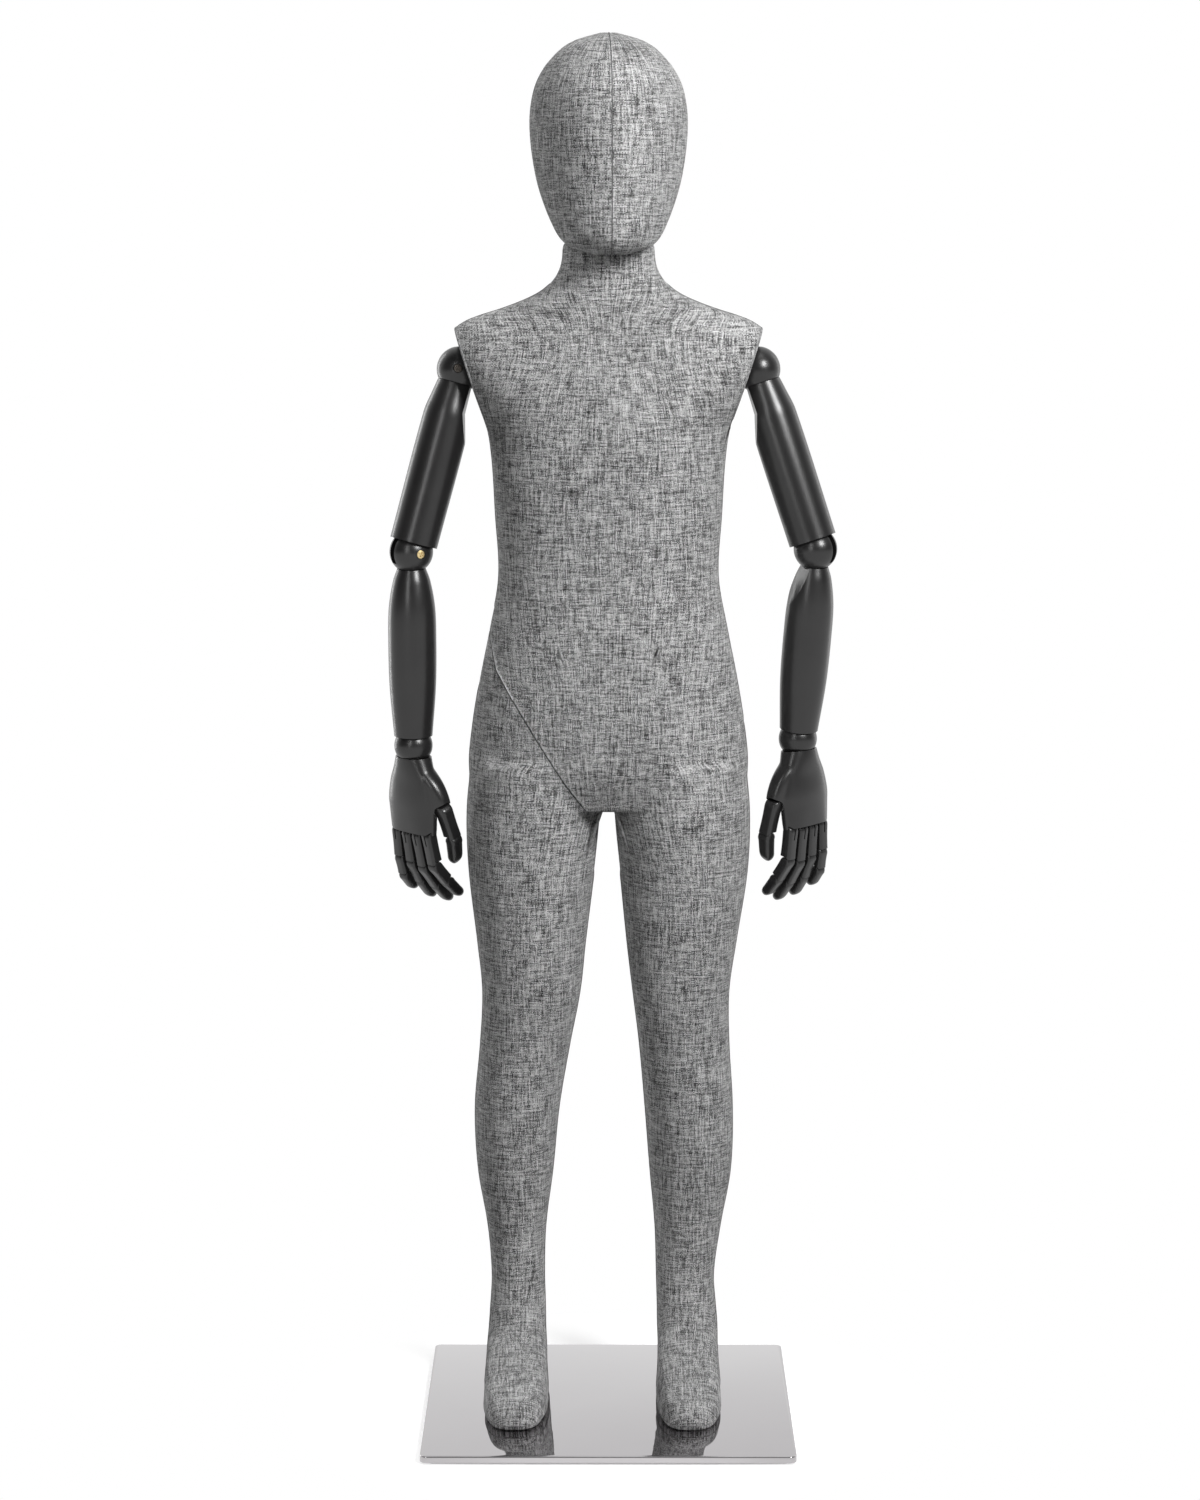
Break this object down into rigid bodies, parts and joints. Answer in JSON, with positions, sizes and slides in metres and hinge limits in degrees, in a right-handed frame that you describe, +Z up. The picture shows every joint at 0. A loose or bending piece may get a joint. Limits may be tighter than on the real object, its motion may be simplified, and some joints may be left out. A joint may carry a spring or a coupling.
{
  "type": "child display mannequin",
  "caption": "Full-length child display mannequin with a linen-covered body and egg head, jointed black wooden arms and hands, a lift-off leg, and a square polished foot plate.",
  "frame": {"origin": "middle of the base's underside, on the floor", "axes": "+Z up, -Y the way the mannequin faces, +X towards its own left hand"},
  "size_m": [0.3649, 0.3, 1.125],
  "materials": {
    "linen": "woven grey melange linen over a hard shell",
    "black_wood": "satin black paint",
    "peg_wood": "bare beech dowel",
    "plate_steel": "mirror polished",
    "spigot_steel": "turned",
    "joint_screw": "yellow zinc plated",
    "felt": "thin black felt pad"
  },
  "bodies": {
    "base": {"base_felt": "felt", "base_plate": "plate_steel", "foot_spigot": "spigot_steel", "spigot_screw": "joint_screw"},
    "mannequin": {"torso": "linen"},
    "right_leg": {"right_leg": "linen", "leg_peg": "peg_wood"},
    "neck_peg": {"neck_peg": "peg_wood"},
    "head": {"head": "linen"},
    "right_shoulder_pivot": {"right_shoulder_pivot": "spigot_steel"},
    "right_shoulder_ball": {"right_shoulder_ball": "black_wood", "right_shoulder_screw": "joint_screw"},
    "right_upper_arm": {"right_upper_arm": "black_wood"},
    "right_elbow_ball": {"right_elbow_ball": "black_wood", "right_elbow_screw": "joint_screw"},
    "right_forearm": {"right_forearm": "black_wood"},
    "right_wrist_ball": {"right_wrist_ball": "black_wood"},
    "right_palm": {"right_palm": "black_wood"},
    "right_index_proximal": {"right_index_proximal": "black_wood"},
    "right_index_middle": {"right_index_middle": "black_wood"},
    "right_index_distal": {"right_index_distal": "black_wood"},
    "right_middle_proximal": {"right_middle_proximal": "black_wood"},
    "right_middle_middle": {"right_middle_middle": "black_wood"},
    "right_middle_distal": {"right_middle_distal": "black_wood"},
    "right_ring_proximal": {"right_ring_proximal": "black_wood"},
    "right_ring_middle": {"right_ring_middle": "black_wood"},
    "right_ring_distal": {"right_ring_distal": "black_wood"},
    "right_little_proximal": {"right_little_proximal": "black_wood"},
    "right_little_middle": {"right_little_middle": "black_wood"},
    "right_little_distal": {"right_little_distal": "black_wood"},
    "right_thumb_proximal": {"right_thumb_proximal": "black_wood"},
    "right_thumb_distal": {"right_thumb_distal": "black_wood"},
    "left_shoulder_pivot": {"left_shoulder_pivot": "spigot_steel"},
    "left_shoulder_ball": {"left_shoulder_ball": "black_wood", "left_shoulder_screw": "joint_screw"},
    "left_upper_arm": {"left_upper_arm": "black_wood"},
    "left_elbow_ball": {"left_elbow_ball": "black_wood", "left_elbow_screw": "joint_screw"},
    "left_forearm": {"left_forearm": "black_wood"},
    "left_wrist_ball": {"left_wrist_ball": "black_wood"},
    "left_palm": {"left_palm": "black_wood"},
    "left_index_proximal": {"left_index_proximal": "black_wood"},
    "left_index_middle": {"left_index_middle": "black_wood"},
    "left_index_distal": {"left_index_distal": "black_wood"},
    "left_middle_proximal": {"left_middle_proximal": "black_wood"},
    "left_middle_middle": {"left_middle_middle": "black_wood"},
    "left_middle_distal": {"left_middle_distal": "black_wood"},
    "left_ring_proximal": {"left_ring_proximal": "black_wood"},
    "left_ring_middle": {"left_ring_middle": "black_wood"},
    "left_ring_distal": {"left_ring_distal": "black_wood"},
    "left_little_proximal": {"left_little_proximal": "black_wood"},
    "left_little_middle": {"left_little_middle": "black_wood"},
    "left_little_distal": {"left_little_distal": "black_wood"},
    "left_thumb_proximal": {"left_thumb_proximal": "black_wood"},
    "left_thumb_distal": {"left_thumb_distal": "black_wood"}
  },
  "joints": [
    {"name": "body_lift", "type": "slide", "parent": "base", "child": "mannequin", "axis": [0, 0, 1], "range_m": [0, 0.065]},
    {"name": "right_leg_slide", "type": "slide", "parent": "mannequin", "child": "right_leg", "axis": [0, -1, 0], "range_m": [0, 0.02]},
    {"name": "head_lift", "type": "slide", "parent": "mannequin", "child": "neck_peg", "axis": [0, 0, 1], "range_m": [0, 0.036]},
    {"name": "head_turn", "type": "hinge", "parent": "neck_peg", "child": "head", "pos_m": [0, 0.035, 0.96], "axis": [0, 0, 1], "range_deg": [-60, 60]},
    {"name": "right_shoulder_turn", "type": "hinge", "parent": "mannequin", "child": "right_shoulder_pivot", "pos_m": [-0.1203, 0.035, 0.8575], "axis": [-0.9493, 0, -0.3143], "range_deg": [-40, 150]},
    {"name": "right_arm_swing", "type": "hinge", "parent": "right_shoulder_pivot", "child": "right_shoulder_ball", "pos_m": [-0.1203, 0.035, 0.8575], "axis": [0.0329, 0.9945, -0.0992], "range_deg": [0, 60]},
    {"name": "right_upper_arm_turn", "type": "hinge", "parent": "right_shoulder_ball", "child": "right_upper_arm", "pos_m": [-0.1203, 0.035, 0.8575], "axis": [0.2586, 0.0875, 0.962], "range_deg": [-5, 90]},
    {"name": "right_elbow_bend", "type": "hinge", "parent": "right_upper_arm", "child": "right_elbow_ball", "pos_m": [-0.15971, 0.02167, 0.71089], "axis": [-0.4983, 0.8653, 0.0553], "range_deg": [0, 80]},
    {"name": "right_forearm_turn", "type": "hinge", "parent": "right_elbow_ball", "child": "right_forearm", "pos_m": [-0.15971, 0.02167, 0.71089], "axis": [-0.0007, -0.0642, 0.9979], "range_deg": [-90, 90]},
    {"name": "right_wrist_turn", "type": "hinge", "parent": "right_forearm", "child": "right_wrist_ball", "pos_m": [-0.15959, 0.03197, 0.55072], "axis": [-0.0007, -0.0642, 0.9979], "range_deg": [-90, 90]},
    {"name": "right_hand_bend", "type": "hinge", "parent": "right_wrist_ball", "child": "right_palm", "pos_m": [-0.15959, 0.03197, 0.55072], "axis": [-0.6932, 0.7193, 0.0457], "range_deg": [-1, 25]},
    {"name": "left_shoulder_turn", "type": "hinge", "parent": "mannequin", "child": "left_shoulder_pivot", "pos_m": [0.1203, 0.035, 0.8575], "axis": [-0.9493, 0, 0.3143], "range_deg": [-40, 150]},
    {"name": "left_arm_swing", "type": "hinge", "parent": "left_shoulder_pivot", "child": "left_shoulder_ball", "pos_m": [0.1203, 0.035, 0.8575], "axis": [0.0329, -0.9945, 0.0992], "range_deg": [0, 60]},
    {"name": "left_upper_arm_turn", "type": "hinge", "parent": "left_shoulder_ball", "child": "left_upper_arm", "pos_m": [0.1203, 0.035, 0.8575], "axis": [-0.3104, 0.0842, 0.9469], "range_deg": [-90, 90]},
    {"name": "left_elbow_bend", "type": "hinge", "parent": "left_upper_arm", "child": "left_elbow_ball", "pos_m": [0.16761, 0.02216, 0.7132], "axis": [-0.4899, -0.8678, -0.0834], "range_deg": [0, 80]},
    {"name": "left_forearm_turn", "type": "hinge", "parent": "left_elbow_ball", "child": "left_forearm", "pos_m": [0.16761, 0.02216, 0.7132], "axis": [0.0751, -0.1373, 0.9877], "range_deg": [-18, 90]},
    {"name": "left_wrist_turn", "type": "hinge", "parent": "left_forearm", "child": "left_wrist_ball", "pos_m": [0.15555, 0.0442, 0.55468], "axis": [0.0751, -0.1373, 0.9877], "range_deg": [-18, 90]},
    {"name": "left_hand_bend", "type": "hinge", "parent": "left_wrist_ball", "child": "left_palm", "pos_m": [0.15555, 0.0442, 0.55468], "axis": [-0.6854, -0.7265, -0.0489], "range_deg": [-4, 12]},
    {"name": "right_index_proximal_bend", "type": "hinge", "parent": "right_palm", "child": "right_index_proximal", "pos_m": [-0.14664, 0.02337, 0.47552], "axis": [0.6932, -0.7193, -0.0457], "range_deg": [-14, 5]},
    {"name": "right_index_middle_bend", "type": "hinge", "parent": "right_index_proximal", "child": "right_index_middle", "pos_m": [-0.142, 0.02946, 0.45015], "axis": [0.6932, -0.7193, -0.0457], "range_deg": [-28, 19]},
    {"name": "right_index_distal_bend", "type": "hinge", "parent": "right_index_middle", "child": "right_index_distal", "pos_m": [-0.1321, 0.03992, 0.43556], "axis": [0.6932, -0.7193, -0.0457], "range_deg": [-4, 56]},
    {"name": "right_middle_proximal_bend", "type": "hinge", "parent": "right_palm", "child": "right_middle_proximal", "pos_m": [-0.15523, 0.03237, 0.47489], "axis": [0.6932, -0.7193, -0.0457], "range_deg": [-13, 45]},
    {"name": "right_middle_middle_bend", "type": "hinge", "parent": "right_middle_proximal", "child": "right_middle_middle", "pos_m": [-0.15059, 0.03859, 0.44747], "axis": [0.6932, -0.7193, -0.0457], "range_deg": [-25, 50]},
    {"name": "right_middle_distal_bend", "type": "hinge", "parent": "right_middle_middle", "child": "right_middle_distal", "pos_m": [-0.14082, 0.04907, 0.43078], "axis": [0.6932, -0.7193, -0.0457], "range_deg": [-5, 55]},
    {"name": "right_ring_proximal_bend", "type": "hinge", "parent": "right_palm", "child": "right_ring_proximal", "pos_m": [-0.16383, 0.04129, 0.47546], "axis": [0.6932, -0.7193, -0.0457], "range_deg": [-10, 60]},
    {"name": "right_ring_middle_bend", "type": "hinge", "parent": "right_ring_proximal", "child": "right_ring_middle", "pos_m": [-0.16056, 0.04606, 0.45011], "axis": [0.6932, -0.7193, -0.0457], "range_deg": [-20, 55]},
    {"name": "right_ring_distal_bend", "type": "hinge", "parent": "right_ring_middle", "child": "right_ring_distal", "pos_m": [-0.15334, 0.05408, 0.43327], "axis": [0.6932, -0.7193, -0.0457], "range_deg": [-8, 52]},
    {"name": "right_little_proximal_bend", "type": "hinge", "parent": "right_palm", "child": "right_little_proximal", "pos_m": [-0.17243, 0.05014, 0.47702], "axis": [0.6932, -0.7193, -0.0457], "range_deg": [-6, 64]},
    {"name": "right_little_middle_bend", "type": "hinge", "parent": "right_little_proximal", "child": "right_little_middle", "pos_m": [-0.1706, 0.05341, 0.45332], "axis": [0.6932, -0.7193, -0.0457], "range_deg": [-10, 65]},
    {"name": "right_little_distal_bend", "type": "hinge", "parent": "right_little_middle", "child": "right_little_distal", "pos_m": [-0.16741, 0.05745, 0.43817], "axis": [0.6932, -0.7193, -0.0457], "range_deg": [-22, 38]},
    {"name": "right_thumb_root_bend", "type": "hinge", "parent": "right_palm", "child": "right_thumb_proximal", "pos_m": [-0.13406, 0.01893, 0.49779], "axis": [-0.6687, -0.6367, -0.3839], "range_deg": [-5, 6]},
    {"name": "right_thumb_tip_bend", "type": "hinge", "parent": "right_thumb_proximal", "child": "right_thumb_distal", "pos_m": [-0.12663, 0.02645, 0.4724], "axis": [-0.6687, -0.6367, -0.3839], "range_deg": [-20, 18]},
    {"name": "left_index_proximal_bend", "type": "hinge", "parent": "left_palm", "child": "left_index_proximal", "pos_m": [0.14949, 0.02938, 0.47958], "axis": [0.6854, 0.7265, 0.0489], "range_deg": [-14, 5]},
    {"name": "left_index_middle_bend", "type": "hinge", "parent": "left_index_proximal", "child": "left_index_middle", "pos_m": [0.14716, 0.03333, 0.45348], "axis": [0.6854, 0.7265, 0.0489], "range_deg": [-28, 19]},
    {"name": "left_index_distal_bend", "type": "hinge", "parent": "left_index_middle", "child": "left_index_distal", "pos_m": [0.13862, 0.04248, 0.43725], "axis": [0.6854, 0.7265, 0.0489], "range_deg": [-4, 56]},
    {"name": "left_middle_proximal_bend", "type": "hinge", "parent": "left_palm", "child": "left_middle_proximal", "pos_m": [0.1581, 0.03836, 0.47899], "axis": [0.6854, 0.7265, 0.0489], "range_deg": [-13, 57]},
    {"name": "left_middle_middle_bend", "type": "hinge", "parent": "left_middle_proximal", "child": "left_middle_middle", "pos_m": [0.15595, 0.04228, 0.45084], "axis": [0.6854, 0.7265, 0.0489], "range_deg": [-25, 50]},
    {"name": "left_middle_distal_bend", "type": "hinge", "parent": "left_middle_middle", "child": "left_middle_distal", "pos_m": [0.14772, 0.05127, 0.43253], "axis": [0.6854, 0.7265, 0.0489], "range_deg": [-5, 55]},
    {"name": "left_ring_proximal_bend", "type": "hinge", "parent": "left_palm", "child": "left_ring_proximal", "pos_m": [0.16659, 0.04737, 0.4796], "axis": [0.6854, 0.7265, 0.0489], "range_deg": [-10, 60]},
    {"name": "left_ring_middle_bend", "type": "hinge", "parent": "left_ring_proximal", "child": "left_ring_middle", "pos_m": [0.16563, 0.05002, 0.45375], "axis": [0.6854, 0.7265, 0.0489], "range_deg": [-20, 55]},
    {"name": "left_ring_distal_bend", "type": "hinge", "parent": "left_ring_middle", "child": "left_ring_distal", "pos_m": [0.15996, 0.05658, 0.43573], "axis": [0.6854, 0.7265, 0.0489], "range_deg": [-8, 52]},
    {"name": "left_little_proximal_bend", "type": "hinge", "parent": "left_palm", "child": "left_little_proximal", "pos_m": [0.175, 0.0564, 0.4812], "axis": [0.6854, 0.7265, 0.0489], "range_deg": [-6, 64]},
    {"name": "left_little_middle_bend", "type": "hinge", "parent": "left_little_proximal", "child": "left_little_middle", "pos_m": [0.17533, 0.0577, 0.45724], "axis": [0.6854, 0.7265, 0.0489], "range_deg": [-10, 65]},
    {"name": "left_little_distal_bend", "type": "hinge", "parent": "left_little_middle", "child": "left_little_distal", "pos_m": [0.17353, 0.06046, 0.44158], "axis": [0.6854, 0.7265, 0.0489], "range_deg": [-22, 38]},
    {"name": "left_thumb_root_bend", "type": "hinge", "parent": "left_palm", "child": "left_thumb_proximal", "pos_m": [0.13494, 0.02666, 0.50091], "axis": [-0.7015, 0.6602, 0.2683], "range_deg": [-5, 16]},
    {"name": "left_thumb_tip_bend", "type": "hinge", "parent": "left_thumb_proximal", "child": "left_thumb_distal", "pos_m": [0.12984, 0.03201, 0.47442], "axis": [-0.7015, 0.6602, 0.2683], "range_deg": [-20, 18]}
  ]
}
